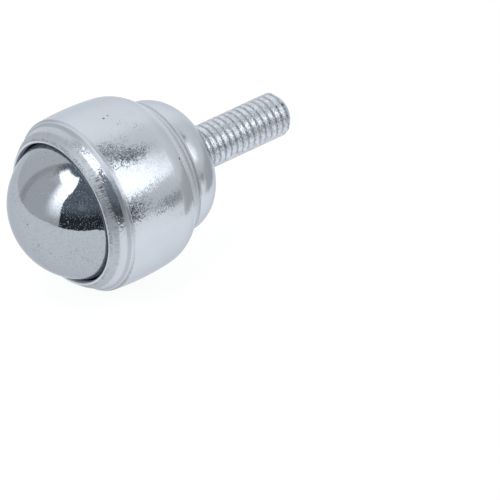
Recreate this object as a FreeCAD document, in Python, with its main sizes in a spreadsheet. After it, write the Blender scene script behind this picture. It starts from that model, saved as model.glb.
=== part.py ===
"""Ball castor: a polished load ball in a pressed steel housing with a threaded stud.

Frame: the stud points up along +Z, and the origin is the middle of the housing's end face,
the shoulder that meets the furniture. Millimetres and degrees throughout.
"""
import FreeCAD
import Part
import Sketcher
import math
import os

V = FreeCAD.Vector

SIZES = [
    ("ball_diameter", 25.4, "load ball"),
    ("support_ball_diameter", 4.0, "small balls between load ball and race"),
    ("running_gap", 0.05, "free play of the small balls against load ball and race"),
    ("ring_gap", 0.115, "room between neighbouring rings of small balls"),
    ("race_thickness", 0.8, "hardened cap"),
    ("race_fit", 0.05, "room between the rim of the race and the bore of the dome"),
    ("seat_gap", 0.05, "room between race and stud head, and round the stud in its hole"),
    ("sheet_thickness", 1.0, "wall of the pressed housing"),
    ("barrel_gap", 1.77, "room between load ball and barrel at its widest"),
    ("barrel_crown", 3.6, "height of the widest ring above the centre of the load ball"),
    ("barrel_arc", 50.0, "radius of the barrel's swelling outline"),
    ("shoulder_round", 7.2, "radius between barrel and neck"),
    ("neck_clearance", 0.25, "room between the neck and the race"),
    ("neck_round", 1.8, "hollow radius of the neck"),
    ("dome_diameter", 23.6, "domed end"),
    ("dome_corner", 6.0, "radius between the dome's side and the end face"),
    ("mouth_overlap", 0.35, "how far the mouth is narrower than the load ball, on the radius"),
    ("mouth_clearance", 0.2, "room between the inner edge of the mouth and the load ball"),
    ("lip_angle", 37.0, "slope of the rolled lip against the axis"),
    ("lip_width", 2.66, "rolled lip, along its slope"),
    ("lip_edge", 0.3, "rounding of the outer edge of the mouth"),
    ("lip_bend", 1.35, "outer radius between lip and band"),
    ("band_angle", 20.0, "slope of the band behind the lip against the axis"),
    ("band_width", 1.15, "band, along its slope"),
    ("crease_round", 0.5, "hollow radius between band and step"),
    ("step_angle", 42.0, "slope of the small step from band to barrel against the axis"),
    ("step_round", 0.4, "outer radius between step and barrel"),
    ("hole_diameter", 8.8, "hole for the stud in the end face"),
    ("head_diameter", 12.0, "stud head under the dome"),
    ("head_height", 3.35, "stud head under the dome"),
    ("stud_diameter", 8.0, "threaded shank over its crests"),
    ("stud_length", 20.5, "shank above the end face"),
    ("stud_chamfer", 1.0, "point of the shank"),
]

# Small balls in each ring, from the one on the stud's axis outwards.
BALLS_IN_RING = (1, 6, 12, 16)

# A sketch counts a curve's start, end and centre from one, and its own two axes from minus one down.
START, END, CENTRE = range(1, 4)
LEVEL_AXIS, STUD_AXIS = range(-1, -3, -1)
ORIGIN = (LEVEL_AXIS, START)

# Radii and depths that several pieces share, worked out from the sheet.
BALL_RADIUS = "Sizes.ball_diameter / 2"
TRACK_RADIUS = f"({BALL_RADIUS} + Sizes.running_gap + Sizes.support_ball_diameter / 2)"
RACE_INSIDE = f"({BALL_RADIUS} + Sizes.support_ball_diameter + 2 * Sizes.running_gap)"
RACE_OUTSIDE = f"({RACE_INSIDE} + Sizes.race_thickness)"
BALL_DEPTH = f"(Sizes.sheet_thickness + Sizes.head_height + Sizes.seat_gap + {RACE_OUTSIDE})"
DOME_RADIUS = "Sizes.dome_diameter / 2"
MOUTH_RADIUS = f"({BALL_RADIUS} - Sizes.mouth_overlap)"
BARREL_RADIUS = f"({BALL_RADIUS} + Sizes.barrel_gap + Sizes.sheet_thickness)"


def fill_sheet(doc):
    """Put every driving dimension in a named cell."""
    sheet = doc.addObject("Spreadsheet::Sheet", "Sizes")
    for row, (alias, value, meaning) in enumerate(SIZES, start=1):
        sheet.set(f"A{row}", alias)
        sheet.set(f"B{row}", str(value))
        sheet.setAlias(f"B{row}", alias)
        sheet.set(f"C{row}", meaning)
    doc.recompute()


def number(item, expression):
    """The present value of an expression, read as this item of the document would read it."""
    return float(item.evalExpression(expression))


def new_body(doc, label):
    body = doc.addObject("PartDesign::Body", label)
    body.Label = label
    return body


def section_sketch(body, name):
    """A sketch on the body's own upright plane: x is the radius, y the height."""
    sketch = body.newObject("Sketcher::SketchObject", name)
    upright = next(plane for plane in body.Origin.OriginFeatures if plane.Role == "XZ_Plane")
    sketch.AttachmentSupport = (upright, "")
    sketch.MapMode = "FlatFace"
    return sketch


def revolve(body, sketch, name):
    """Turn a section once round the stud's axis."""
    turned = body.newObject("PartDesign::Revolution", name)
    turned.Profile = sketch
    turned.ReferenceAxis = (sketch, ["V_Axis"])
    turned.Angle = 360
    body.Document.recompute()
    return turned


def line(sketch, start, end):
    return sketch.addGeometry(Part.LineSegment(V(*start), V(*end)))


def arc(sketch, centre, radius, first, last):
    """An arc drawn anticlockwise between two angles in degrees."""
    circle = Part.Circle(V(*centre), V(0, 0, 1), radius)
    return sketch.addGeometry(Part.ArcOfCircle(circle, math.radians(first), math.radians(last)))


def bind(sketch, constraint, expression):
    index = sketch.addConstraint(constraint)
    sketch.setExpression(f"Constraints[{index}]", expression)


def set_radius(sketch, curve, expression):
    value = number(sketch, expression)
    bind(sketch, Sketcher.Constraint("Radius", curve, value), expression)


def set_out(sketch, curve, end, expression):
    """Distance of a point from the axis."""
    value = number(sketch, expression)
    bind(sketch, Sketcher.Constraint("DistanceX", *ORIGIN, curve, end, value), expression)


def set_depth(sketch, curve, end, expression):
    """Distance of a point below the end face."""
    value = number(sketch, expression)
    bind(sketch, Sketcher.Constraint("DistanceY", curve, end, *ORIGIN, value), expression)


def meet(sketch, first, first_end, second, second_end):
    sketch.addConstraint(Sketcher.Constraint("Coincident", first, first_end, second, second_end))


def flow(sketch, first, first_end, second, second_end):
    """Two curves run smoothly into one another."""
    sketch.addConstraint(Sketcher.Constraint("Tangent", first, first_end, second, second_end))


def closed_polygon(sketch, corners):
    """Straight sides through corners given as (radius, depth) expressions."""
    points = [(number(sketch, out), -number(sketch, depth)) for out, depth in corners]
    sides = []
    for index, point in enumerate(points):
        sides.append(line(sketch, point, points[(index + 1) % len(points)]))
    for index, (out, depth) in enumerate(corners):
        meet(sketch, sides[index - 1], END, sides[index], START)
        set_out(sketch, sides[index], START, out)
        set_depth(sketch, sides[index], START, depth)


def inner_corner(out, depth, lower_angle, upper_angle):
    """Where the wall's inside turns, one sheet thickness behind an outside corner between two slopes."""
    spread = f"(1 + cos({upper_angle} - {lower_angle}))"
    inward = f"Sizes.sheet_thickness * (cos({lower_angle}) + cos({upper_angle})) / {spread}"
    upward = f"Sizes.sheet_thickness * (sin({lower_angle}) + sin({upper_angle})) / {spread}"
    return f"({out} - {inward})", f"({depth} - {upward})"


def housing_section(sketch):
    """Section of the pressed wall, its outside from the stud hole to the mouth and its inside back up.

    Returns the corners that are rounded afterwards, as (curve, end, radius).
    """
    wall = "Sizes.sheet_thickness"
    hole = "Sizes.hole_diameter / 2"
    ball_depth = number(sketch, BALL_DEPTH)
    dome_radius = number(sketch, DOME_RADIUS)
    dome_corner = number(sketch, "Sizes.dome_corner")
    thickness = number(sketch, wall)

    # The neck passes round the race, and the shoulder starts there.
    neck_reach = f"({RACE_OUTSIDE} + Sizes.neck_clearance + {wall})"
    neck_depth = f"({BALL_DEPTH} - sqrt({neck_reach} ^ 2 - ({DOME_RADIUS}) ^ 2))"

    # The lip: its inner edge just clears the load ball, and its slope, band and step rise to the barrel.
    edge_reach = f"({BALL_RADIUS} + Sizes.mouth_clearance)"
    edge_depth = f"({BALL_DEPTH} + sqrt({edge_reach} ^ 2 - {MOUTH_RADIUS} ^ 2))"
    lip_depth = f"({edge_depth} + {wall} / sin(Sizes.lip_angle))"
    bend_out = f"({MOUTH_RADIUS} + Sizes.lip_width * sin(Sizes.lip_angle))"
    bend_depth = f"({lip_depth} - Sizes.lip_width * cos(Sizes.lip_angle))"
    crease_out = f"({bend_out} + Sizes.band_width * sin(Sizes.band_angle))"
    crease_depth = f"({bend_depth} - Sizes.band_width * cos(Sizes.band_angle))"
    inner_bend = inner_corner(bend_out, bend_depth, "Sizes.lip_angle", "Sizes.band_angle")
    inner_crease = inner_corner(crease_out, crease_depth, "Sizes.band_angle", "Sizes.step_angle")

    # Starting places of the curves, which the constraints below then settle.
    barrel_radius = number(sketch, BARREL_RADIUS)
    barrel_arc = number(sketch, "Sizes.barrel_arc")
    barrel_centre = (barrel_radius - barrel_arc, number(sketch, "Sizes.barrel_crown") - ball_depth)
    shoulder = number(sketch, "Sizes.shoulder_round")
    neck = (dome_radius, -number(sketch, neck_depth))
    shoulder_out = barrel_radius - shoulder
    neck_angle = math.degrees(math.acos((dome_radius - shoulder_out) / shoulder))
    shoulder_centre = (shoulder_out, neck[1] - shoulder * math.sin(math.radians(neck_angle)))
    crease = (number(sketch, crease_out), -number(sketch, crease_depth))
    step_rise = barrel_radius - crease[0]
    step_run = step_rise / math.tan(math.radians(number(sketch, "Sizes.step_angle")))
    step_top = (barrel_radius, crease[1] + step_run)
    step_turn = math.degrees(math.asin((step_top[1] - barrel_centre[1]) / barrel_arc))
    shoulder_turn = math.degrees(math.asin((shoulder_centre[1] - barrel_centre[1]) / barrel_arc))
    corner_centre = (dome_radius - dome_corner, -dome_corner)
    hole_radius = number(sketch, hole)

    # Outside.
    face = line(sketch, (hole_radius, 0), (corner_centre[0], 0))
    corner = arc(sketch, corner_centre, dome_corner, 0, 90)
    flank = line(sketch, (dome_radius, -dome_corner), neck)
    round_shoulder = arc(sketch, shoulder_centre, shoulder, shoulder_turn, neck_angle)
    barrel = arc(sketch, barrel_centre, barrel_arc, step_turn, shoulder_turn)
    step = line(sketch, crease, step_top)
    bend = (number(sketch, bend_out), -number(sketch, bend_depth))
    band = line(sketch, crease, bend)
    mouth_radius = number(sketch, MOUTH_RADIUS)
    lip_point = (mouth_radius, -number(sketch, lip_depth))
    lip = line(sketch, bend, lip_point)

    # Mouth and inside.
    edge_point = (mouth_radius, -number(sketch, edge_depth))
    bore = line(sketch, lip_point, edge_point)
    inside_bend = (number(sketch, inner_bend[0]), -number(sketch, inner_bend[1]))
    inside_crease = (number(sketch, inner_crease[0]), -number(sketch, inner_crease[1]))
    inside_lip = line(sketch, edge_point, inside_bend)
    inside_band = line(sketch, inside_bend, inside_crease)
    inside_step = line(sketch, inside_crease, (step_top[0] - thickness, step_top[1]))
    inside_barrel = arc(sketch, barrel_centre, barrel_arc - thickness, step_turn, shoulder_turn)
    inside_shoulder = arc(sketch, shoulder_centre, shoulder - thickness, shoulder_turn, neck_angle)
    inside_flank = line(sketch, (dome_radius - thickness, neck[1]), (dome_radius - thickness, -dome_corner))
    inside_corner = arc(sketch, corner_centre, dome_corner - thickness, 0, 90)
    inside_face = line(sketch, (corner_centre[0], -thickness), (hole_radius, -thickness))
    hole_wall = line(sketch, (hole_radius, -thickness), (hole_radius, 0))

    # How the curves join, in order round the section.
    flow(sketch, face, END, corner, END)
    flow(sketch, corner, START, flank, START)
    meet(sketch, flank, END, round_shoulder, END)
    flow(sketch, round_shoulder, START, barrel, END)
    meet(sketch, barrel, START, step, END)
    meet(sketch, step, START, band, START)
    meet(sketch, band, END, lip, START)
    meet(sketch, lip, END, bore, START)
    meet(sketch, bore, END, inside_lip, START)
    meet(sketch, inside_lip, END, inside_band, START)
    meet(sketch, inside_band, END, inside_step, START)
    meet(sketch, inside_step, END, inside_barrel, START)
    flow(sketch, inside_barrel, END, inside_shoulder, START)
    meet(sketch, inside_shoulder, END, inside_flank, START)
    flow(sketch, inside_flank, END, inside_corner, START)
    flow(sketch, inside_corner, END, inside_face, START)
    meet(sketch, inside_face, END, hole_wall, START)
    meet(sketch, hole_wall, END, face, START)

    # The wall keeps its thickness: inner and outer curves share their centres and slopes.
    meet(sketch, inside_corner, CENTRE, corner, CENTRE)
    meet(sketch, inside_shoulder, CENTRE, round_shoulder, CENTRE)
    meet(sketch, inside_barrel, CENTRE, barrel, CENTRE)
    sketch.addConstraint(Sketcher.Constraint("Parallel", inside_step, step))
    for level in (face, inside_face):
        sketch.addConstraint(Sketcher.Constraint("Horizontal", level))
    for upright in (flank, inside_flank, hole_wall):
        sketch.addConstraint(Sketcher.Constraint("Vertical", upright))

    # Sizes.
    set_out(sketch, face, START, hole)
    set_depth(sketch, face, START, "0")
    set_radius(sketch, corner, "Sizes.dome_corner")
    set_out(sketch, flank, END, DOME_RADIUS)
    set_depth(sketch, flank, END, neck_depth)
    set_out(sketch, inside_flank, START, f"{DOME_RADIUS} - {wall}")
    set_radius(sketch, round_shoulder, "Sizes.shoulder_round")
    set_radius(sketch, barrel, "Sizes.barrel_arc")
    set_out(sketch, barrel, CENTRE, f"{BARREL_RADIUS} - Sizes.barrel_arc")
    set_depth(sketch, barrel, CENTRE, f"{BALL_DEPTH} - Sizes.barrel_crown")
    set_radius(sketch, inside_barrel, f"Sizes.barrel_arc - {wall}")
    step_slope = "90 - Sizes.step_angle"
    bind(sketch, Sketcher.Constraint("Angle", step, math.radians(number(sketch, step_slope))), step_slope)
    set_out(sketch, step, START, crease_out)
    set_depth(sketch, step, START, crease_depth)
    for curve, out, depth in (
        (band, bend_out, bend_depth),
        (lip, MOUTH_RADIUS, lip_depth),
        (bore, MOUTH_RADIUS, edge_depth),
        (inside_lip, *inner_bend),
        (inside_band, *inner_crease),
    ):
        set_out(sketch, curve, END, out)
        set_depth(sketch, curve, END, depth)

    return [
        (flank, END, "Sizes.neck_round"),
        (inside_flank, START, f"Sizes.neck_round + {wall}"),
        (step, END, "Sizes.step_round"),
        (step, START, "Sizes.crease_round"),
        (inside_step, START, f"Sizes.crease_round + {wall}"),
        (band, END, "Sizes.lip_bend"),
        (inside_band, START, f"Sizes.lip_bend - {wall}"),
        (lip, END, "Sizes.lip_edge"),
    ]


def ring_edge(shape, out, height):
    """Name of the edge whose circle lies nearest a given radius and height."""
    def distance(index):
        curve = shape.Edges[index].Curve
        if not isinstance(curve, Part.Circle):
            return math.inf
        return math.hypot(curve.Radius - out, curve.Center.z - height)

    nearest = min(range(len(shape.Edges)), key=distance)
    return f"Edge{nearest + 1}"


def make_housing(doc):
    """One deep-drawn pressing: domed end, neck, shoulder, swelling barrel and a lip rolled over the ball."""
    body = new_body(doc, "housing")
    sketch = section_sketch(body, "housing_section")
    roundings = housing_section(sketch)
    doc.recompute()
    feature = revolve(body, sketch, "pressing")
    for order, (curve, end, radius) in enumerate(roundings, start=1):
        place = sketch.getPoint(curve, end)
        rounding = body.newObject("PartDesign::Fillet", f"rounding_{order}")
        rounding.Base = (feature, [ring_edge(feature.Shape, place.x, place.y)])
        rounding.setExpression("Radius", radius)
        doc.recompute()
        feature = rounding
    return body


def make_race(doc):
    """A thin cap, concentric with the load ball, that fits inside the dome and rests on the stud's head."""
    body = new_body(doc, "race_cup")
    sketch = section_sketch(body, "race_section")
    rim = f"({DOME_RADIUS} - Sizes.sheet_thickness - Sizes.race_fit)"
    centre = (0, -number(sketch, BALL_DEPTH))
    rim_out = number(sketch, rim)
    arcs = []
    for radius in (RACE_INSIDE, RACE_OUTSIDE):
        reach = number(sketch, radius)
        rim_turn = math.degrees(math.acos(rim_out / reach))
        curve = arc(sketch, centre, reach, rim_turn, 90)
        set_radius(sketch, curve, radius)
        arcs.append((curve, reach, centre[1] + math.sqrt(reach ** 2 - rim_out ** 2)))
    (inside, inner_reach, inner_height), (outside, outer_reach, outer_height) = arcs
    pole = line(sketch, (0, centre[1] + inner_reach), (0, centre[1] + outer_reach))
    edge = line(sketch, (rim_out, outer_height), (rim_out, inner_height))
    meet(sketch, inside, END, pole, START)
    meet(sketch, pole, END, outside, END)
    meet(sketch, outside, START, edge, START)
    meet(sketch, edge, END, inside, START)
    meet(sketch, inside, CENTRE, outside, CENTRE)
    sketch.addConstraint(Sketcher.Constraint("PointOnObject", inside, CENTRE, STUD_AXIS))
    set_depth(sketch, inside, CENTRE, BALL_DEPTH)
    sketch.addConstraint(Sketcher.Constraint("PointOnObject", pole, START, STUD_AXIS))
    sketch.addConstraint(Sketcher.Constraint("Vertical", pole))
    sketch.addConstraint(Sketcher.Constraint("Vertical", edge))
    set_out(sketch, edge, START, rim)
    doc.recompute()
    revolve(body, sketch, "cap")
    return body


def make_stud(doc):
    """Headed stud: flat head under the dome, a short neck in the hole and the shank with its point."""
    body = new_body(doc, "stud")
    sketch = section_sketch(body, "stud_section")
    head = "Sizes.head_diameter / 2"
    neck = "Sizes.hole_diameter / 2 - Sizes.seat_gap"
    shank = "Sizes.stud_diameter / 2"
    wall = "Sizes.sheet_thickness"
    closed_polygon(sketch, [
        ("0", f"{wall} + Sizes.head_height"),
        (head, f"{wall} + Sizes.head_height"),
        (head, wall),
        (neck, wall),
        (neck, "0"),
        (shank, "0"),
        (shank, "Sizes.stud_chamfer - Sizes.stud_length"),
        (f"{shank} - Sizes.stud_chamfer", "-Sizes.stud_length"),
        ("0", "-Sizes.stud_length"),
    ])
    doc.recompute()
    revolve(body, sketch, "turned_stud")
    return body


def make_ball(doc, label, diameter, place):
    """A steel ball with its centre at (x, y, z), given as expressions."""
    ball = doc.addObject("Part::Sphere", label)
    ball.Label = label
    ball.setExpression("Radius", f"{diameter} / 2")
    for axis, expression in zip("xyz", place):
        ball.setExpression(f"Placement.Base.{axis}", expression)
    return ball


def make_support_balls(doc):
    """Rings of small balls that lie over the load ball, side by side."""
    step = f"asin((Sizes.support_ball_diameter + Sizes.ring_gap) / {TRACK_RADIUS})"
    balls = []
    for ring, count in enumerate(BALLS_IN_RING):
        tilt = f"({ring} * {step})"
        for place in range(count):
            turn = 360 * place / count
            balls.append(make_ball(doc, f"support_ball_{len(balls) + 1:02d}", "Sizes.support_ball_diameter", (
                f"{TRACK_RADIUS} * sin({tilt}) * cos({turn})",
                f"{TRACK_RADIUS} * sin({tilt}) * sin({turn})",
                f"{TRACK_RADIUS} * cos({tilt}) - {BALL_DEPTH}",
            )))
    return balls


def check(doc, pieces):
    for item in doc.Objects:
        if "Invalid" in item.State or "Error" in item.State:
            raise RuntimeError(f"{item.Name} did not build: {item.State}")
        if item.isDerivedFrom("Sketcher::SketchObject") and not item.FullyConstrained:
            raise RuntimeError(f"{item.Name} is not fully constrained")
    for piece in pieces:
        if piece.Shape.isNull() or not piece.Shape.isValid() or len(piece.Shape.Solids) != 1:
            raise RuntimeError(f"{piece.Label} is not one valid solid")


def main():
    doc = FreeCAD.newDocument("BallCastor")
    fill_sheet(doc)
    pieces = [make_housing(doc), make_race(doc), make_stud(doc)]
    pieces.append(make_ball(doc, "load_ball", "Sizes.ball_diameter", ("0", "0", f"-{BALL_DEPTH}")))
    pieces.extend(make_support_balls(doc))
    doc.recompute()
    check(doc, pieces)
    os.makedirs("parts", exist_ok=True)
    for piece in pieces:
        piece.Shape.exportStep(f"parts/{piece.Label}.step")
        print(piece.Label, round(piece.Shape.Volume, 3))


main()
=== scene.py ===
"""Ball castor on a white table: the finish of each piece, the stud's thread, the studio and the camera."""

import math
from collections import namedtuple

import bpy
from mathutils import Matrix, Vector


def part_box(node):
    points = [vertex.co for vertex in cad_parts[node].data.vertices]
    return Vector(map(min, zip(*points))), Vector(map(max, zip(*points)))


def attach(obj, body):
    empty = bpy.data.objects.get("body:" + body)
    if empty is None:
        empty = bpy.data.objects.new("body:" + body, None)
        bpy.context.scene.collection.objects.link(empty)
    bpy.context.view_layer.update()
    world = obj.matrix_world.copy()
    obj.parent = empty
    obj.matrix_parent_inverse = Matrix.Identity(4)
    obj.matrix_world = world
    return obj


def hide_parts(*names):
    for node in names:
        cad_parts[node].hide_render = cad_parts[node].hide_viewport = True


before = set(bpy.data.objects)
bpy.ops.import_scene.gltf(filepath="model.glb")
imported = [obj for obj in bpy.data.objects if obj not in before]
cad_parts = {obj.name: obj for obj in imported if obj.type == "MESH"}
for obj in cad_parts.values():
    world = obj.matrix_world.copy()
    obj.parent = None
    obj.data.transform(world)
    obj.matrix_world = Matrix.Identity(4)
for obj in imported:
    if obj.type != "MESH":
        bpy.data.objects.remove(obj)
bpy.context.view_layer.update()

MM = 0.001
FULL_TURN = 2 * math.pi

# Sizes read from the frame, in metres
ball_low, ball_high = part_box("load_ball")
BALL_CENTRE = (ball_low + ball_high) / 2
housing_low, housing_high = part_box("housing")
BARREL_RADIUS = housing_high.x
LIP_EDGE = housing_low.z
stud_low, stud_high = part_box("stud")
HEAD_RADIUS = stud_high.x
HEAD_BOTTOM = stud_low.z
STUD_TIP = stud_high.z

# The stud: its head under the dome, its neck in the hole and its thread
HEAD_TOP = -1.0 * MM
HEAD_EDGE = 0.3 * MM
NECK_RADIUS = 4.35 * MM
CREST_RADIUS = 3.85 * MM
THREAD_PITCH = 1.25 * MM
THREAD_DEPTH = 0.45 * MM
CREST_SHARE = 0.60
ROOT_SHARE = 0.08
THREAD_START = 0.3 * MM
THREAD_RUN_IN = 1.2 * MM
TIP_CHAMFER = 1.0 * MM
# How finely the stud's mesh is drawn, and the angle from which its edges stay sharp
STEPS_A_PITCH = 30
STEPS_ROUND = 144
SHARP_EDGE = math.radians(35)

# Heights above the lip's lowest ring where the housing's finish changes
EDGE_RISE = 0.06 * MM
LIP_RISE = 1.52 * MM
BAND_RISE = 2.61 * MM
STEP_RISE = 3.20 * MM
RIM_RISE = 3.64 * MM
LIP_MIDDLE_RADIUS = 13.2 * MM
BORE_RADIUS = 12.46 * MM
# How softly these zones begin and end, where the band starts under the lip, and how wide the rim line is
LIP_FADE_BELOW = 0.30 * MM
LIP_FADE_ABOVE = 0.10 * MM
BORE_SOFT = 0.03 * MM
BAND_UNDER_LIP = 0.15 * MM
BAND_SOFT = 0.18 * MM
STEP_SOFT = 0.10 * MM
RIM_START_SOFT = 0.06 * MM
RIM_END_SOFT = 0.13 * MM
# The rim line is a thin pale tint, a painted highlight along the step's outer edge
RIM_LINE_BELOW = 0.06 * MM
RIM_LINE_ABOVE = 0.04 * MM
RIM_LINE_SOFT = 0.04 * MM
# Heights above that ring between which the plate's grain fades, as in the photo
GRAIN_FULL = 9 * MM
GRAIN_FADED = 14 * MM
# Heights of the neck's valley, where the drawing tool left fine rings, and of the dome above it
NECK_LOW = -9.6 * MM
NECK_HIGH = -6.6 * MM
NECK_SOFT = 0.5 * MM
DOME_LOW = -8.4 * MM
RING_SPACING = 0.70 * MM
# How far the finish leans towards the mouth on the crowned band, and away from it on the step's rubbed rim
BAND_CROWN = 0.17
RIM_LEAN = 0.56
# Where round the lip the rolling tool left its deepest ticks, and how far they reach to each side
TICKS_TURN = math.radians(-38)
TICKS_REACH = math.radians(24)
# How wide the ticks are, how little they change across the lip, and how ragged they leave its border
TICK_WIDTH = 0.22 * MM
TICK_CHANGE_ACROSS = 0.15
LIP_RAGGED = 0.35 * MM
# The relief of the ticks and of the neck's rings, each as a multiple of one depth
RELIEF_DEPTH = 0.4 * MM
TICK_RELIEF = 0.12
RING_RELIEF = 1.4
# Heights above the lip's lowest ring between which the tool's dots end, and the size of their patches
DOTS_FULL = 0.35 * MM
DOTS_END = 0.60 * MM
DOT_PATCH_SIZE = 3 * MM
# How far the tool's strokes reach down from the lip's border
STROKE_REACH = 0.75 * MM
STROKE_SOFT = 0.20 * MM
# Sizes of grain, clouds, rubbing marks, flaws' ragged edges and specks, and spacing of pits and hairlines
GRAIN_SIZE = 0.17 * MM
HOUSING_CLOUD_SIZE = 6 * MM
STUD_CLOUD_SIZE = 0.6 * MM
BALL_CLOUD_SIZE = 5 * MM
RUBBING_SIZE = 0.8 * MM
FLAW_EDGE_SIZE = 0.25 * MM
SPECK_SIZE = 0.15 * MM
BALL_PIT_SPACING = 1.8 * MM
HOUSING_HAIRLINES = 0.55 * MM
BALL_HAIRLINES = 1.4 * MM
# How far pits and scratches darken the metal, and how far the neck's valley is tinted pale: painted light
# over its dark reflections
PIT_DARKNESS = 0.8
SCRATCH_DARKNESS = 0.6
BALL_SCRATCH_DARKNESS = 0.3
NECK_PAINTED_LIGHT = 0.7

# Pits and scratched places that the photo shows: where, and how far they reach
HOUSING_PITS = (
    (Vector((0.70, -15.45, -17.99)) * MM, 0.26 * MM),
    (Vector((0.42, -15.44, -16.91)) * MM, 0.16 * MM),
    (Vector((10.92, -9.44, -10.24)) * MM, 0.24 * MM),
)
HOUSING_SCRATCHES = (
    (Vector((3.04, -15.12, -16.28)) * MM, 1.2 * MM),
    (Vector((1.96, -15.07, -13.29)) * MM, 1.0 * MM),
    (Vector((5.04, -14.42, -14.11)) * MM, 1.3 * MM),
    (Vector((-3.00, -15.11, -16.06)) * MM, 0.7 * MM),
    (Vector((6.08, -14.21, -17.92)) * MM, 1.0 * MM),
)
STUD_CHIPS = (
    (Vector((2.15, -3.13, 19.35)) * MM, 0.34 * MM),
    (Vector((2.14, -3.14, 18.04)) * MM, 0.22 * MM),
)
BALL_PITS = (
    (Vector((11.10, -2.92, -27.42)) * MM, 0.24 * MM),
    (Vector((1.05, -1.76, -34.53)) * MM, 0.16 * MM),
)

# The camera, as the photo's size and place of the ball give it
IMAGE_SIZE = 500
SENSOR_WIDTH = 36.0
FOCAL_PIXELS = 7000
BALL_PIXEL = (83.1, 203.0)
BALL_DISTANCE = 1.159
CAMERA_ELEVATION = math.radians(34.7)
STUD_HEADING = math.radians(39.9)
CLIP_NEAR = 0.01
CLIP_FAR = 100

# Directions on the table that the castor lies on: its side at +Y rests there
TABLE_UP = Vector((0, -1, 0))
TABLE_RIGHT = Vector((math.sin(STUD_HEADING), 0, math.cos(STUD_HEADING)))
TABLE_AWAY = TABLE_UP.cross(TABLE_RIGHT)

# How far the white sheet reaches from under the ball
SHEET_NEAR = 0.145
SHEET_LEFT = 0.165
SHEET_FAR = 0.40
SHEET_RIGHT = 0.05
# How much of the sheet's white doesn't depend on the light, and how much does
SHEET_GLOW = 0.88
SHEET_SHADE = 0.20
# The sheet's white for the light that it throws back on the castor
SHEET_PAPER = (0.9, 0.9, 0.9, 1)

# The studio that the metal mirrors is laid out in degrees, by the turn from the camera's side, positive to
# the right, and by the height. An area has the ends of both, and how soft they are.
Area = namedtuple("Area", "turn height soft")
# The far side is full bright and the rest a little less: two turns, to either side, and the brightness there
FAR_SIDE = (132, 162, 0.80, 1.0)
# The room's areas with their brightness, each laid over those before it
ROOM = (
    # Grey walls at the left, with a darker far corner, and at the right, with a darker foot
    (Area((-111, -50), (-90, 48), (2, 6)), 0.68),
    (Area((-111, -99), (-90, 48), (3, 6)), 0.54),
    (Area((60, 150), (-90, 28), (10, 6)), 0.76),
    (Area((86, 135), (-90, 4), (5, 5)), 0.50),
    # The dark ceiling, and its lower end at the left
    (Area((-118, 60), (66, 120), (6, 5)), 0.22),
    (Area((-112, -84), (54, 120), (5, 14)), 0.22),
    # The dark room round the camera, darkest low down
    (Area((-40, 50), (-90, 120), (3, 4)), 0.19),
    (Area((-40, 65), (-90, 18), (3, 10)), 0.040),
    # A pale wall at the right, the white table under it, and a pale patch under the camera
    (Area((68, 86), (-8, 18), (3, 4)), 0.70),
    (Area((52, 88), (-90, -6), (4, 2)), 1.0),
    (Area((-5, 5), (23, 31), (4, 4)), 0.28),
    # A dark spot low on the right that stands for the photo's second castor
    (Area((75, 84), (-11, 1), (3, 3)), 0.15),
)
# The left softbox. Each of these has two heights and the value at each: an edge's turn, or the brightness
LEFT_NEAR_EDGE = (26, 68, -34, -14)
LEFT_FAR_EDGE = (52, 60, -56, -86)
LEFT_LEVEL = (-4, 38, 0.6, 2.6)
# How far those edges are soft to both sides, and its lowest and highest height and how soft they are
LEFT_NEAR_SOFT = (-1, 1)
LEFT_FAR_SOFT = (-8, 12)
LEFT_HEIGHT = (-90, 72, 2)
# The right softbox: its two parts, and two turns with the brightness at each
RIGHT_PARTS = (Area((52, 102), (21.5, 51), (8, 3.5)), Area((60, 91), (45, 63), (5, 3)))
RIGHT_LEVEL = (70, 106, 1.75, 0.90)
# The dark gap above it: its height grows with the turn, and its area is measured from that height. It has a
# broad foot at its lower end and a fainter shade at its upper end.
GAP_SLOPE = 0.47
GAP_START = 10.6
GAP_RISING = Area((89, 128), (-3, 4), (5, 4))
GAP_FOOT = Area((87, 109), (48, 59), (4, 3))
GAP_SHADE = Area((108, 150), (67, 76), (5, 2))
GAP_SHADE_STRENGTH = 0.8
GAP_LEVEL = 0.06
# The dim parts of the studio are bluish, the bright ones white
DIM_TINT = (0.83, 1, 1.18, 1)
BRIGHT_TINT = (1, 1, 1, 1)
DIM_LEVEL = 0.1
BRIGHT_LEVEL = 0.5


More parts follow.
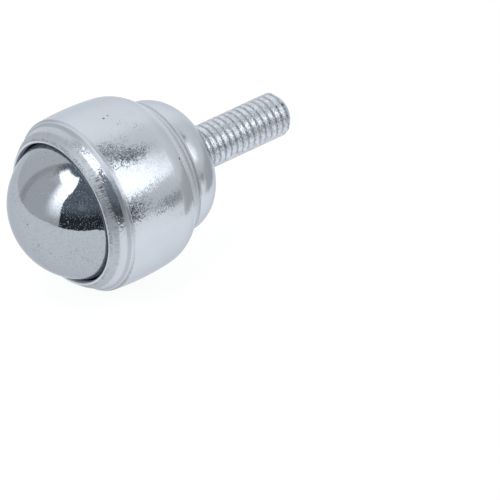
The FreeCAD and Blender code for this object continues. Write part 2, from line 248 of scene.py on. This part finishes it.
class Graph:
    """Short calls that add nodes to one node tree."""

    def __init__(self, tree):
        tree.nodes.clear()
        self.tree = tree

    def add(self, kind, **settings):
        node = self.tree.nodes.new(kind)
        for name, value in settings.items():
            setattr(node, name, value)
        return node

    def feed(self, socket, value):
        if isinstance(value, bpy.types.NodeSocket):
            self.tree.links.new(value, socket)
        else:
            socket.default_value = value

    def math(self, operation, *values):
        node = self.add("ShaderNodeMath", operation=operation)
        for socket, value in zip(node.inputs, values):
            self.feed(socket, value)
        return node.outputs[0]

    def vector(self, operation, *values):
        node = self.add("ShaderNodeVectorMath", operation=operation)
        for socket, value in zip(node.inputs, values):
            self.feed(socket, value)
        return node.outputs["Value" if operation in ("DOT_PRODUCT", "LENGTH") else "Vector"]

    def times(self, first, *others):
        """The product of all the values."""
        for other in others:
            first = self.math("MULTIPLY", first, other)
        return first

    def most(self, first, *others):
        """The largest of all the values."""
        for other in others:
            first = self.math("MAXIMUM", first, other)
        return first

    def join(self, x, y, z):
        node = self.add("ShaderNodeCombineXYZ")
        for socket, value in zip(node.inputs, (x, y, z)):
            self.feed(socket, value)
        return node.outputs[0]

    def split(self, vector):
        node = self.add("ShaderNodeSeparateXYZ")
        self.feed(node.inputs[0], vector)
        return node.outputs

    def scale(self, vector, amount):
        """A vector times a number."""
        return self.vector("MULTIPLY", vector, self.join(amount, amount, amount))

    def ramp(self, value, low, high, start=0.0, end=1.0):
        """A smooth step from start to end as value goes from low to high."""
        node = self.add("ShaderNodeMapRange", interpolation_type="SMOOTHSTEP")
        for socket, given in zip(node.inputs, (value, low, high, start, end)):
            self.feed(socket, given)
        return node.outputs[0]

    def band(self, value, low, high, soft):
        """1 between low and high, with soft edges, and 0 outside."""
        rise = self.ramp(value, low - soft, low + soft)
        fall = self.ramp(value, high - soft, high + soft, 1.0, 0.0)
        return self.times(rise, fall)

    def mix(self, share, first, second):
        """A number that goes from first to second with share."""
        node = self.add("ShaderNodeMix", data_type="FLOAT")
        for socket, value in zip(node.inputs[:1] + node.inputs[2:4], (share, first, second)):
            self.feed(socket, value)
        return node.outputs[0]

    def tint(self, share, first, second):
        """A colour that goes from first to second with share."""
        node = self.add("ShaderNodeMix", data_type="RGBA")
        self.feed(node.inputs["Factor"], share)
        self.feed(node.inputs[6], first)
        self.feed(node.inputs[7], second)
        return node.outputs[2]

    def noise(self, place, size, detail=2.0):
        """Cloudy noise from 0 to 1 whose lumps are about size across."""
        node = self.add("ShaderNodeTexNoise")
        self.feed(node.inputs["Vector"], place)
        node.inputs["Scale"].default_value = 1 / size
        node.inputs["Detail"].default_value = detail
        return node.outputs["Fac"]

    def cells(self, place, size):
        """Small cells about size across: a random vector for each, and the distance from its middle."""
        node = self.add("ShaderNodeTexVoronoi")
        self.feed(node.inputs["Vector"], place)
        node.inputs["Scale"].default_value = 1 / size
        return node.outputs["Color"], node.outputs["Distance"]

    def tilt(self, normal, random, amount):
        """A normal that leans by a random vector times amount."""
        lean = self.vector("SUBTRACT", random, (0.5, 0.5, 0.5))
        return self.vector("NORMALIZE", self.vector("ADD", normal, self.scale(lean, amount)))

    def toward_mouth(self, amount):
        """A vector along the housing's axis, from the stud to the mouth, amount long."""
        node = self.add("ShaderNodeVectorTransform", vector_type="NORMAL")
        node.convert_from = "OBJECT"
        node.convert_to = "WORLD"
        node.inputs[0].default_value = (0, 0, -1)
        return self.scale(node.outputs[0], amount)

    def marks(self, place, spots, ragged):
        """1 inside any of the spots, each a centre and a reach, with edges that ragged breaks up."""
        inside = 0.0
        for centre, reach in spots:
            away = self.vector("LENGTH", self.vector("SUBTRACT", place, centre))
            away = self.math("DIVIDE", away, self.times(ragged, 2 * reach))
            inside = self.most(inside, self.ramp(away, 0.6, 1.0, 1.0, 0.0))
        return inside

    def hairlines(self, place, size):
        """1 on thin curved lines, about size apart."""
        from_line = self.math("ABSOLUTE", self.math("SUBTRACT", self.noise(place, size, 1.0), 0.5))
        return self.ramp(from_line, 0.004, 0.018, 1.0, 0.0)


def new_material(name):
    material = bpy.data.materials.new(name)
    material.use_nodes = True
    return material, Graph(material.node_tree)


def metal_shader(graph, colour, roughness, normal=None, metallic=1.0):
    shader = graph.add("ShaderNodeBsdfPrincipled")
    graph.feed(shader.inputs["Metallic"], metallic)
    graph.feed(shader.inputs["Base Color"], colour)
    graph.feed(shader.inputs["Roughness"], roughness)
    shader.inputs["Specular Tint"].default_value = GRAZING_TINT
    if normal is not None:
        graph.feed(shader.inputs["Normal"], normal)
    output = graph.add("ShaderNodeOutputMaterial")
    graph.feed(output.inputs["Surface"], shader.outputs[0])


def object_place(graph):
    return graph.add("ShaderNodeTexCoord").outputs["Object"]


def surface_normal(graph):
    return graph.add("ShaderNodeNewGeometry").outputs["Normal"]


def bumped(graph, height, depth):
    """The normal of a surface that rises by depth where height is 1."""
    bump = graph.add("ShaderNodeBump")
    bump.inputs["Strength"].default_value = 1.0
    bump.inputs["Distance"].default_value = depth
    graph.feed(bump.inputs["Height"], height)
    return bump.outputs[0]


# Colours of the zinc plate, the stud's plate and the steel
ZINC_PALE = (0.640, 0.690, 0.755, 1)
ZINC_DULL = (0.575, 0.620, 0.680, 1)
# Darker tint of the step: painted shade for the crease between band and barrel
ZINC_STEP_SHADED = (0.525, 0.565, 0.620, 1)
# Pale tint that is painted light: on the neck's valley, and as a painted highlight on the rim line
ZINC_PAINTED_LIGHT = (0.780, 0.820, 0.870, 1)
ZINC_ROLLED = (0.560, 0.600, 0.650, 1)
ZINC_SCRAPED = (0.230, 0.250, 0.285, 1)
STUD_PALE = (0.720, 0.760, 0.810, 1)
STUD_DULL = (0.570, 0.610, 0.660, 1)
# Pale tint for the stud's grooves: painted light over their dark reflections
STUD_GROOVE_PAINTED_LIGHT = (0.790, 0.825, 0.865, 1)
STEEL_BRIGHT = (0.430, 0.470, 0.520, 1)
STEEL_CLOUDED = (0.415, 0.455, 0.505, 1)
STEEL_DULL = (0.330, 0.360, 0.405, 1)
SPECK_DARK = (0.060, 0.070, 0.085, 1)
SPECK_GREY = (0.420, 0.450, 0.490, 1)
# The plate and the steel are less bright than clean metal where they are seen at a flat angle
GRAZING_TINT = (0.72, 0.74, 0.77, 1)

# Roughness of the plate in its dull and its pale clouds, and then in each zone, the later ones on top
ZINC_CLOUD_ROUGHNESS = (0.18, 0.13)
ZINC_ROUGHNESS = {
    "faded": 0.20,
    "dome": 0.20,
    "neck": 0.46,
    "band": 0.25,
    "step": 0.45,
    "rim": 0.32,
    "rim_line": 0.50,
    "dull": 0.52,
    "bore": 0.70,
}
# How far the plate's grain leans, and how far it leans in some zones
GRAIN_LEAN = 0.10
ZONE_LEAN = {"faded": 0.05, "band": 0.17, "dull": 0.20}
# How metallic the dull bore is
BORE_METAL = 0.15
# Roughness of the stud in its dull and its pale clouds, and how far its grain leans
STUD_CLOUD_ROUGHNESS = (0.34, 0.24)
STUD_GRAIN_LEAN = 0.28
# Roughness, lean and metal of the ball, between its specks and on them
BALL_ROUGHNESS = (0.03, 0.40)
BALL_LEAN = (0.012, 0.10)
BALL_METAL = (1.0, 0.3)
# Roughness of the hidden steel, between its rubbing marks and on them
RACE_ROUGHNESS = (0.25, 0.4)
SMALL_BALL_ROUGHNESS = (0.06, 0.14)


def lip_ticks(graph, z, outward):
    """Radial marks that the rolling tool left: they change quickly round the lip and slowly across it."""
    round_lip = graph.scale(outward, LIP_MIDDLE_RADIUS)
    across_lip = graph.join(0.0, 0.0, graph.times(z, TICK_CHANGE_ACROSS))
    return graph.noise(graph.vector("ADD", round_lip, across_lip), TICK_WIDTH, 1.0)


def housing_zones(graph, z, rise, radius, ticks):
    """How much of each finish there is, from 0 to 1: from the bore and the lip to the neck and the dome."""
    ragged = graph.math("MULTIPLY_ADD", graph.math("SUBTRACT", ticks, 0.5), LIP_RAGGED, rise)
    lip = graph.ramp(ragged, LIP_RISE - LIP_FADE_BELOW, LIP_RISE + LIP_FADE_ABOVE, 1.0, 0.0)
    edge = graph.ramp(rise, 0.5 * EDGE_RISE, EDGE_RISE, 1.0, 0.0)
    inside = graph.ramp(radius, BORE_RADIUS, BORE_RADIUS + BORE_SOFT, 1.0, 0.0)
    rim_start = graph.ramp(rise, STEP_RISE - RIM_START_SOFT, STEP_RISE + RIM_START_SOFT)
    rim_end = graph.ramp(rise, RIM_RISE - RIM_END_SOFT, RIM_RISE + RIM_END_SOFT, 1.0, 0.0)
    return {
        "bore": graph.times(inside, lip),
        "dull": graph.times(lip, graph.math("SUBTRACT", 1.0, edge)),
        "band": graph.band(rise, LIP_RISE - BAND_UNDER_LIP, BAND_RISE, BAND_SOFT),
        "step": graph.band(rise, BAND_RISE, STEP_RISE, STEP_SOFT),
        "rim": graph.times(rim_start, rim_end),
        "rim_line": graph.band(rise, STEP_RISE - RIM_LINE_BELOW, STEP_RISE + RIM_LINE_ABOVE, RIM_LINE_SOFT),
        "neck": graph.band(z, NECK_LOW, NECK_HIGH, NECK_SOFT),
        "dome": graph.ramp(z, DOME_LOW, NECK_HIGH),
        "faded": graph.ramp(rise, GRAIN_FULL, GRAIN_FADED),
    }


def by_zone(graph, value, zones, zone_values):
    """A number that takes its own value in each zone."""
    for zone, zone_value in zone_values.items():
        value = graph.mix(zones[zone], value, zone_value)
    return value


def tool_scrapes(graph, place, rise, outward, ticks, random, dull):
    """Dark dots where the tool pressed the lip's edge, and strokes at its border, deepest in one sector."""
    near_edge = graph.ramp(rise, DOTS_FULL, DOTS_END, 1.0, 0.0)
    patchy = graph.ramp(graph.noise(place, DOT_PATCH_SIZE, 2.0), 0.40, 0.60, 0.15, 0.85)
    chosen = graph.ramp(graph.split(random)[0], 0.62, 0.72)
    dots = graph.times(chosen, near_edge, patchy, dull)
    border = graph.band(rise, LIP_RISE - STROKE_REACH, LIP_RISE, STROKE_SOFT)
    toward_ticks = (math.cos(TICKS_TURN), math.sin(TICKS_TURN), 0)
    facing = graph.vector("DOT_PRODUCT", outward, toward_ticks)
    ticked = graph.ramp(facing, math.cos(TICKS_REACH), math.cos(0.5 * TICKS_REACH), 0.2, 1.0)
    strokes = graph.times(graph.ramp(ticks, 0.52, 0.42), border, ticked)
    return graph.most(dots, strokes)


def pressing_colour(graph, place, clouds, zones, scrapes):
    """The plate's colour: clouds, the pits and scratches that the photo shows, and the zones' tints, which
    paint light on the neck's valley, a highlight on the rim line and shade on the step.
    """
    flaw_edges = graph.noise(place, FLAW_EDGE_SIZE, 3.0)
    pits = graph.marks(place, HOUSING_PITS, flaw_edges)
    scratches = graph.marks(place, HOUSING_SCRATCHES, flaw_edges)
    scratches = graph.times(scratches, graph.hairlines(place, HOUSING_HAIRLINES))
    flaws = graph.most(graph.times(pits, PIT_DARKNESS), graph.times(scratches, SCRATCH_DARKNESS))
    colour = graph.tint(clouds, ZINC_DULL, ZINC_PALE)
    colour = graph.tint(flaws, colour, SPECK_DARK)
    # Painted light: the neck's valley is tinted pale over its dark reflections
    colour = graph.tint(graph.times(zones["neck"], NECK_PAINTED_LIGHT), colour, ZINC_PAINTED_LIGHT)
    # Painted shade: the step in the crease is tinted darker
    colour = graph.tint(zones["step"], colour, ZINC_STEP_SHADED)
    # Painted highlight: a thin pale line at the step's outer edge
    colour = graph.tint(zones["rim_line"], colour, ZINC_PAINTED_LIGHT)
    colour = graph.tint(zones["dull"], colour, ZINC_ROLLED)
    colour = graph.tint(scrapes, colour, ZINC_SCRAPED)
    return graph.tint(zones["bore"], colour, ZINC_ROLLED)


def pressing_normal(graph, z, ticks, random, zones):
    """The normal with the lip's ticks, the neck's rings, the crowned band, the rubbed rim and the grain."""
    scratched = graph.times(ticks, graph.math("SUBTRACT", zones["dull"], zones["bore"]))
    along = graph.join(0.0, 0.0, graph.math("DIVIDE", z, RING_SPACING))
    rings = graph.times(graph.noise(along, 1.0, 2.0), zones["neck"])
    relief = graph.math("MULTIPLY_ADD", scratched, TICK_RELIEF, graph.times(rings, RING_RELIEF))
    crown = graph.times(zones["band"], BAND_CROWN)
    crown = graph.math("MULTIPLY_ADD", zones["rim"], -RIM_LEAN, crown)
    crowned = graph.vector("ADD", bumped(graph, relief, RELIEF_DEPTH), graph.toward_mouth(crown))
    return graph.tilt(crowned, random, by_zone(graph, GRAIN_LEAN, zones, ZONE_LEAN))


def zinc_pressing():
    """Bright zinc plate on drawn sheet, finely grained; the rolled lip is dull and marked by the tool."""
    material, graph = new_material("zinc_pressing")
    place = object_place(graph)
    x, y, z = graph.split(place)
    flat = graph.join(x, y, 0.0)
    outward = graph.vector("NORMALIZE", flat)
    radius = graph.vector("LENGTH", flat)
    rise = graph.math("SUBTRACT", z, LIP_EDGE)
    ticks = lip_ticks(graph, z, outward)
    zones = housing_zones(graph, z, rise, radius, ticks)
    clouds = graph.noise(place, HOUSING_CLOUD_SIZE, 3.0)
    random, _ = graph.cells(place, GRAIN_SIZE)
    scrapes = tool_scrapes(graph, place, rise, outward, ticks, random, zones["dull"])
    colour = pressing_colour(graph, place, clouds, zones, scrapes)
    roughness = by_zone(graph, graph.mix(clouds, *ZINC_CLOUD_ROUGHNESS), zones, ZINC_ROUGHNESS)
    normal = pressing_normal(graph, z, ticks, random, zones)
    metal_shader(graph, colour, roughness, normal, graph.mix(zones["bore"], 1.0, BORE_METAL))
    return material


def zinc_stud():
    """The same plate on a rolled thread, with more grain, tinted paler in the grooves as painted light over
    their dark reflections, and chipped near the tip.
    """
    material, graph = new_material("zinc_stud")
    place = object_place(graph)
    x, y, z = graph.split(place)
    radius = graph.vector("LENGTH", graph.join(x, y, 0.0))
    root = CREST_RADIUS - THREAD_DEPTH
    groove = graph.ramp(radius, root, root + 0.55 * THREAD_DEPTH, 1.0, 0.0)
    threaded = graph.band(z, THREAD_START, STUD_TIP - TIP_CHAMFER, 0.1 * MM)
    chips = graph.marks(place, STUD_CHIPS, graph.noise(place, FLAW_EDGE_SIZE, 3.0))
    clouds = graph.ramp(graph.noise(place, STUD_CLOUD_SIZE, 4.0), 0.35, 0.65)
    colour = graph.tint(clouds, STUD_DULL, STUD_PALE)
    # Painted light: the grooves are tinted paler to lift their dark reflections
    colour = graph.tint(graph.times(groove, threaded), colour, STUD_GROOVE_PAINTED_LIGHT)
    colour = graph.tint(graph.times(chips, PIT_DARKNESS), colour, SPECK_DARK)
    random, _ = graph.cells(place, GRAIN_SIZE)
    normal = graph.tilt(surface_normal(graph), random, STUD_GRAIN_LEAN)
    metal_shader(graph, colour, graph.mix(clouds, *STUD_CLOUD_ROUGHNESS), normal)
    return material


def polished_ball():
    """Polished bearing steel: nearly a mirror, with grey specks, dark pits and hair scratches from use."""
    material, graph = new_material("polished_ball")
    place = object_place(graph)
    random, from_speck = graph.cells(place, SPECK_SIZE)
    chosen = graph.ramp(graph.split(random)[0], 0.64, 0.98)
    specks = graph.times(chosen, graph.ramp(from_speck, 0.35, 0.60, 1.0, 0.0))
    sparse, from_pit = graph.cells(place, BALL_PIT_SPACING)
    pits = graph.ramp(graph.split(sparse)[1], 0.66, 0.70)
    pits = graph.times(pits, graph.ramp(from_pit, 0.04, 0.08, 1.0, 0.0))
    seen_pits = graph.marks(place, BALL_PITS, graph.noise(place, FLAW_EDGE_SIZE, 3.0))
    clouds = graph.noise(place, BALL_CLOUD_SIZE, 3.0)
    scratches = graph.times(graph.hairlines(place, BALL_HAIRLINES), graph.ramp(clouds, 0.54, 0.60))
    colour = graph.tint(clouds, STEEL_CLOUDED, STEEL_BRIGHT)
    colour = graph.tint(graph.times(scratches, BALL_SCRATCH_DARKNESS), colour, SPECK_DARK)
    colour = graph.tint(graph.most(pits, seen_pits), colour, SPECK_DARK)
    colour = graph.tint(specks, colour, SPECK_GREY)
    normal = graph.tilt(surface_normal(graph), random, graph.mix(specks, *BALL_LEAN))
    roughness = graph.mix(specks, *BALL_ROUGHNESS)
    metal_shader(graph, colour, roughness, normal, graph.mix(specks, *BALL_METAL))
    return material


def hidden_steel(name, roughness):
    """Hardened steel inside the housing, with faint rubbing marks."""
    material, graph = new_material(name)
    place = object_place(graph)
    rubbing = graph.noise(place, RUBBING_SIZE, 4.0)
    colour = graph.tint(rubbing, STEEL_DULL, STEEL_BRIGHT)
    metal_shader(graph, colour, graph.mix(rubbing, *roughness))
    return material


def smooth(share):
    """Eases a share from 0 to 1."""
    share = min(max(share, 0.0), 1.0)
    return share * share * (3 - 2 * share)


def thread_radius(turns):
    """Radius of the thread's outline, where whole turns are at the middle of a crest."""
    from_crest = abs(turns - round(turns))
    flank = (from_crest - CREST_SHARE / 2) / ((1 - CREST_SHARE - ROOT_SHARE) / 2)
    return CREST_RADIUS - THREAD_DEPTH * min(max(flank, 0.0), 1.0)


def shank_radius(height, angle):
    """Radius of the shank: plain at the housing, then threaded, and bevelled at the tip."""
    run_in = smooth((height - THREAD_START) / THREAD_RUN_IN)
    threaded = thread_radius(height / THREAD_PITCH - angle / FULL_TURN)
    radius = CREST_RADIUS + (threaded - CREST_RADIUS) * run_in
    bevelled = CREST_RADIUS - TIP_CHAMFER + (STUD_TIP - height)
    return min(radius, bevelled)


def stud_rows():
    """Heights and radii of the stud's rings, from the head's underside to the tip."""
    turned = [
        (HEAD_BOTTOM, HEAD_RADIUS - HEAD_EDGE),
        (HEAD_BOTTOM + HEAD_EDGE, HEAD_RADIUS),
        (HEAD_TOP - HEAD_EDGE, HEAD_RADIUS),
        (HEAD_TOP, HEAD_RADIUS - HEAD_EDGE),
        (HEAD_TOP, NECK_RADIUS),
        (0.0, NECK_RADIUS),
    ]
    rows = [(height, lambda angle, radius=radius: radius) for height, radius in turned]
    count = math.ceil(STUD_TIP / THREAD_PITCH * STEPS_A_PITCH)
    for step in range(count + 1):
        height = STUD_TIP * step / count
        rows.append((height, lambda angle, height=height: shank_radius(height, angle)))
    return rows


def ring_mesh(name, rows, steps_round):
    """A closed mesh of rings about Z, each at a height with a radius that may change with the angle."""
    points = []
    faces = []
    for height, radius in rows:
        for step in range(steps_round):
            angle = FULL_TURN * step / steps_round
            reach = radius(angle)
            points.append((reach * math.cos(angle), reach * math.sin(angle), height))
    for row in range(len(rows) - 1):
        for step in range(steps_round):
            beside = (step + 1) % steps_round
            below = row * steps_round
            above = below + steps_round
            faces.append((below + step, below + beside, above + beside, above + step))
    faces.append(tuple(reversed(range(steps_round))))
    faces.append(tuple(range(len(points) - steps_round, len(points))))
    mesh = bpy.data.meshes.new(name)
    mesh.from_pydata(points, [], faces)
    mesh.shade_smooth()
    piece = bpy.data.objects.new(name, mesh)
    bpy.context.scene.collection.objects.link(piece)
    return piece


def make_stud(material):
    piece = ring_mesh("threaded_stud", stud_rows(), STEPS_ROUND)
    piece.data.set_sharp_from_angle(angle=SHARP_EDGE)
    piece.data.materials.append(material)
    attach(piece, "housing")
    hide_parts("stud")


def dress(node, material):
    """Gives a node of the frame its finish."""
    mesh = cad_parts[node].data
    mesh.materials.clear()
    mesh.materials.append(material)


def dress_frame():
    dress("housing", zinc_pressing())
    dress("load_ball", polished_ball())
    dress("race_cup", hidden_steel("hardened_race", RACE_ROUGHNESS))
    small_ball_steel = hidden_steel("support_ball_steel", SMALL_BALL_ROUGHNESS)
    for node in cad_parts:
        if node.startswith("support_ball"):
            dress(node, small_ball_steel)


def sheet_white():
    """White paper that is seen from above only and keeps a faint shadow."""
    material, graph = new_material("white_sheet")
    path = graph.add("ShaderNodeLightPath").outputs
    seen = graph.most(path["Is Camera Ray"], path["Is Glossy Ray"], path["Is Transmission Ray"])
    glow = graph.add("ShaderNodeEmission")
    glow.inputs["Strength"].default_value = SHEET_GLOW
    shaded = graph.add("ShaderNodeBsdfDiffuse")
    shaded.inputs["Color"].default_value = (SHEET_SHADE, SHEET_SHADE, SHEET_SHADE, 1)
    white = graph.add("ShaderNodeAddShader")
    graph.feed(white.inputs[0], glow.outputs[0])
    graph.feed(white.inputs[1], shaded.outputs[0])
    paper = graph.add("ShaderNodeBsdfDiffuse")
    paper.inputs["Color"].default_value = SHEET_PAPER
    lit = graph.add("ShaderNodeMixShader")
    graph.feed(lit.inputs[0], seen)
    graph.feed(lit.inputs[1], paper.outputs[0])
    graph.feed(lit.inputs[2], white.outputs[0])
    clear = graph.add("ShaderNodeBsdfTransparent")
    sided = graph.add("ShaderNodeMixShader")
    graph.feed(sided.inputs[0], graph.add("ShaderNodeNewGeometry").outputs["Backfacing"])
    graph.feed(sided.inputs[1], lit.outputs[0])
    graph.feed(sided.inputs[2], clear.outputs[0])
    output = graph.add("ShaderNodeOutputMaterial")
    graph.feed(output.inputs["Surface"], sided.outputs[0])
    return material


def make_sheet():
    """The white sheet under the castor."""
    under_ball = BALL_CENTRE - TABLE_UP * BARREL_RADIUS
    corners = []
    for right, away in ((-SHEET_LEFT, -SHEET_NEAR), (SHEET_RIGHT, -SHEET_NEAR),
                        (SHEET_RIGHT, SHEET_FAR), (-SHEET_LEFT, SHEET_FAR)):
        corners.append(under_ball + TABLE_RIGHT * right + TABLE_AWAY * away)
    mesh = bpy.data.meshes.new("white_sheet")
    mesh.from_pydata(corners, [], [(0, 1, 2, 3)])
    mesh.materials.append(sheet_white())
    sheet = bpy.data.objects.new("white_sheet", mesh)
    bpy.context.scene.collection.objects.link(sheet)


def area_share(graph, turn, height, area):
    """1 inside an area of the studio, with soft edges, and 0 outside."""
    across = graph.band(turn, *area.turn, area.soft[0])
    upward = graph.band(height, *area.height, area.soft[1])
    return graph.times(across, upward)


def left_softbox(graph, turn, height):
    """1 on the left softbox, which reaches down as a screen and leans back at its near edge."""
    from_far = graph.math("SUBTRACT", turn, graph.ramp(height, *LEFT_FAR_EDGE))
    from_near = graph.math("SUBTRACT", turn, graph.ramp(height, *LEFT_NEAR_EDGE))
    across = graph.ramp(from_far, *LEFT_FAR_SOFT)
    beside = graph.ramp(from_near, *LEFT_NEAR_SOFT, 1.0, 0.0)
    return graph.times(across, beside, graph.band(height, *LEFT_HEIGHT))


def dark_gap(graph, turn, height):
    """1 in the dark gap above the right softbox."""
    from_gap = graph.math("SUBTRACT", height, graph.math("MULTIPLY_ADD", turn, GAP_SLOPE, GAP_START))
    rising = area_share(graph, turn, from_gap, GAP_RISING)
    foot = area_share(graph, turn, height, GAP_FOOT)
    shade = graph.times(area_share(graph, turn, height, GAP_SHADE), GAP_SHADE_STRENGTH)
    return graph.most(rising, foot, shade)


def make_studio():
    """The room as the metal sees it; the camera sees plain white."""
    world = bpy.data.worlds.new("studio")
    world.use_nodes = True
    bpy.context.scene.world = world
    graph = Graph(world.node_tree)
    direction = graph.add("ShaderNodeTexCoord").outputs["Generated"]
    up = graph.vector("DOT_PRODUCT", direction, TABLE_UP)
    right = graph.vector("DOT_PRODUCT", direction, TABLE_RIGHT)
    near = graph.vector("DOT_PRODUCT", direction, -TABLE_AWAY)
    to_degrees = 180 / math.pi
    height = graph.times(graph.math("ARCSINE", up), to_degrees)
    turn = graph.times(graph.math("ARCTAN2", right, near), to_degrees)

    level = graph.ramp(graph.math("ABSOLUTE", turn), *FAR_SIDE)
    for area, area_level in ROOM:
        level = graph.mix(area_share(graph, turn, height, area), level, area_level)
    level = graph.mix(left_softbox(graph, turn, height), level, graph.ramp(height, *LEFT_LEVEL))
    right_softbox = graph.most(*(area_share(graph, turn, height, part) for part in RIGHT_PARTS))
    level = graph.mix(right_softbox, level, graph.ramp(turn, *RIGHT_LEVEL))
    level = graph.mix(dark_gap(graph, turn, height), level, GAP_LEVEL)

    path = graph.add("ShaderNodeLightPath").outputs
    shown = graph.mix(path["Is Camera Ray"], level, 1.0)
    background = graph.add("ShaderNodeBackground")
    brightness = graph.ramp(shown, DIM_LEVEL, BRIGHT_LEVEL)
    graph.feed(background.inputs["Color"], graph.tint(brightness, DIM_TINT, BRIGHT_TINT))
    graph.feed(background.inputs["Strength"], shown)
    output = graph.add("ShaderNodeOutputWorld")
    graph.feed(output.inputs["Surface"], background.outputs[0])


def make_camera():
    forward = TABLE_AWAY * math.cos(CAMERA_ELEVATION) - TABLE_UP * math.sin(CAMERA_ELEVATION)
    up = TABLE_UP * math.cos(CAMERA_ELEVATION) + TABLE_AWAY * math.sin(CAMERA_ELEVATION)
    across = (BALL_PIXEL[0] - IMAGE_SIZE / 2) / FOCAL_PIXELS * BALL_DISTANCE
    down = (BALL_PIXEL[1] - IMAGE_SIZE / 2) / FOCAL_PIXELS * BALL_DISTANCE
    data = bpy.data.cameras.new("camera")
    data.sensor_width = SENSOR_WIDTH
    data.lens = FOCAL_PIXELS / IMAGE_SIZE * SENSOR_WIDTH
    data.clip_start = CLIP_NEAR
    data.clip_end = CLIP_FAR
    camera = bpy.data.objects.new("camera", data)
    bpy.context.scene.collection.objects.link(camera)
    axes = Matrix((TABLE_RIGHT, up, -forward)).transposed()
    camera.matrix_world = axes.to_4x4()
    camera.location = BALL_CENTRE - TABLE_RIGHT * across + up * down - forward * BALL_DISTANCE
    bpy.context.scene.camera = camera


dress_frame()
make_stud(zinc_stud())
make_sheet()
make_studio()
make_camera()
bpy.context.scene.view_settings.view_transform = "Standard"
